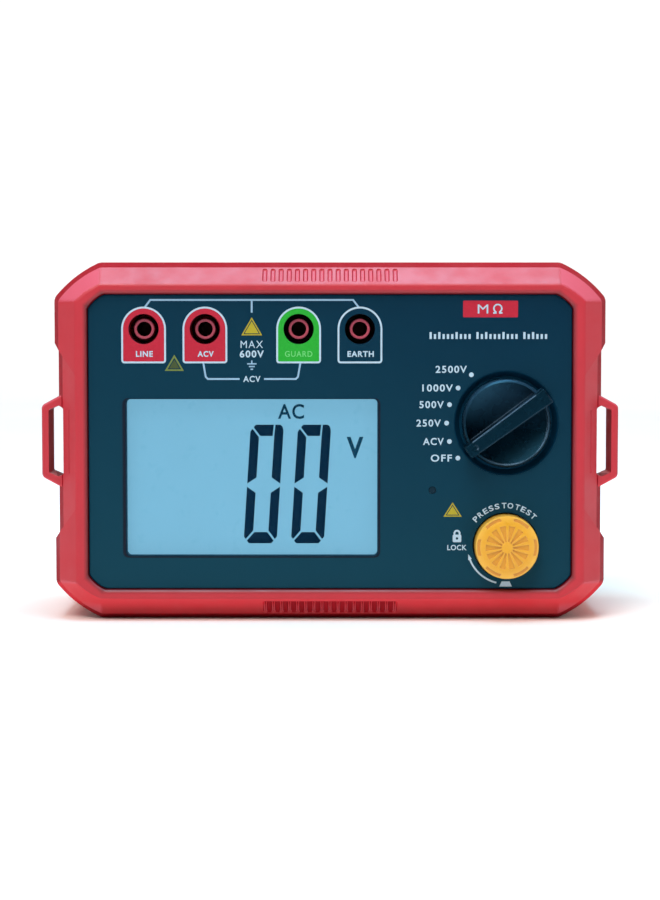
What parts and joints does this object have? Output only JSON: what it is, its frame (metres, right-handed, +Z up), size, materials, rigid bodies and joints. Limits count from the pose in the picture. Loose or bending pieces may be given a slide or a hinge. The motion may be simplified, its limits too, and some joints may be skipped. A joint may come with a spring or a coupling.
{
  "type": "insulation resistance tester",
  "caption": "Bench insulation tester: bumpered frame with strap loops round a dark panel with test-lead sockets, wide display, pointer range knob and push-and-lock test button.",
  "frame": {"origin": "centre of the tester's extent on the surface that it stands on", "axes": "+X to the right along the panel, -Y the way the panel faces, +Z up the panel"},
  "size_m": [0.1616, 0.071, 0.1],
  "materials": {
    "red_elastomer": "satin soft-touch overmould",
    "case_plastic": "fine texture",
    "panel_film": "satin printed film",
    "display_lens": "clear acrylic",
    "lcd_glass": "display cell",
    "inner_plastic": "moulded",
    "light_guide": "milky acrylic",
    "led_package": "resin",
    "contact_rubber": "layered",
    "circuit_board": "solder mask",
    "gilt_copper": "plated",
    "zinc_screw": "zinc plated",
    "black_screw": "black zinc",
    "brass_insert": "knurled",
    "black_rubber": "matt",
    "knob_plastic": "gloss",
    "steel_ball": "polished",
    "spring_wire": "drawn wire",
    "button_plastic": "satin",
    "zinc_plate": "zinc plated",
    "ferrite": "sintered",
    "copper_wire": "enamelled wire",
    "capacitor_sleeve": "shrink sleeve",
    "film_capacitor": "dipped",
    "chip_resin": "moulded resin",
    "resistor_body": "lacquer",
    "fuse_body": "glass tube",
    "lamp_lens": "dark red resin",
    "cell_jacket": "printed jacket",
    "red_lead": "insulation",
    "black_lead": "insulation",
    "black_socket": "moulded",
    "red_sleeve": "moulded",
    "nickel_contact": "nickel plated"
  },
  "bodies": {
    "housing": {"backlight_guide": "light_guide", "backlight_lamps": "led_package", "batteries": "cell_jacket", "battery_lead_negative": "black_lead", "battery_lead_positive": "red_lead", "battery_plates": "zinc_plate", "battery_springs": "spring_wire", "board_contacts": "gilt_copper", "board_screws": "zinc_screw", "button_lock_plate": "zinc_plate", "button_return_spring": "spring_wire", "case_screws": "black_screw", "chips": "chip_resin", "contact_strips": "contact_rubber", "detent_ring": "inner_plastic", "display_board": "circuit_board", "display_lens": "display_lens", "electrolytic_capacitors": "capacitor_sleeve", "film_capacitors": "film_capacitor", "front_bezel": "red_elastomer", "front_case": "case_plastic", "fuse": "fuse_body", "fuse_clips": "zinc_plate", "high_voltage_resistors": "resistor_body", "lcd_frame": "inner_plastic", "lcd_glass": "lcd_glass", "main_board": "circuit_board", "panel_film": "panel_film", "rear_case": "case_plastic", "rear_holster": "red_elastomer", "rubber_feet": "black_rubber", "socket_contact_earth": "nickel_contact", "socket_contact_guard": "nickel_contact", "socket_contact_line": "nickel_contact", "socket_contact_voltage": "nickel_contact", "socket_housing_earth": "black_socket", "socket_housing_guard": "black_socket", "socket_housing_line": "black_socket", "socket_housing_voltage": "black_socket", "socket_sleeve_earth": "red_sleeve", "socket_sleeve_guard": "red_sleeve", "socket_sleeve_line": "red_sleeve", "socket_sleeve_voltage": "red_sleeve", "sounder": "chip_resin", "thread_inserts": "brass_insert", "transformer_core": "ferrite", "transformer_winding": "copper_wire", "warning_lamp": "lamp_lens"},
    "range_switch": {"range_knob": "knob_plastic", "switch_rotor": "inner_plastic", "detent_balls": "steel_ball", "detent_spring": "spring_wire", "switch_wipers": "gilt_copper"},
    "button_slider": {"contact_carrier": "inner_plastic", "contact_bridge": "gilt_copper"},
    "test_button": {"test_button_cap": "button_plastic", "stem_clip": "spring_wire"},
    "battery_door": {"battery_door": "case_plastic", "battery_door_screws": "zinc_screw"}
  },
  "joints": [
    {"name": "range_knob_turn", "type": "hinge", "parent": "housing", "child": "range_switch", "pos_m": [0.049, -0.0255, 0.0553], "axis": [0, 1, 0], "range_deg": [0, 90]},
    {"name": "test_button_press", "type": "slide", "parent": "housing", "child": "button_slider", "axis": [0, 1, 0], "range_m": [0, 0.004], "stiffness_N_per_m": 400, "springref_m": -0.003, "deforming": ["button_return_spring"]},
    {"name": "test_button_lock", "type": "hinge", "parent": "button_slider", "child": "test_button", "pos_m": [0.049, -0.0245, 0.0211], "axis": [0, 1, 0], "range_deg": [0, 60]},
    {"name": "battery_door_pull", "type": "slide", "parent": "housing", "child": "battery_door", "axis": [0, 1, 0], "range_m": [0, 0.03]}
  ]
}
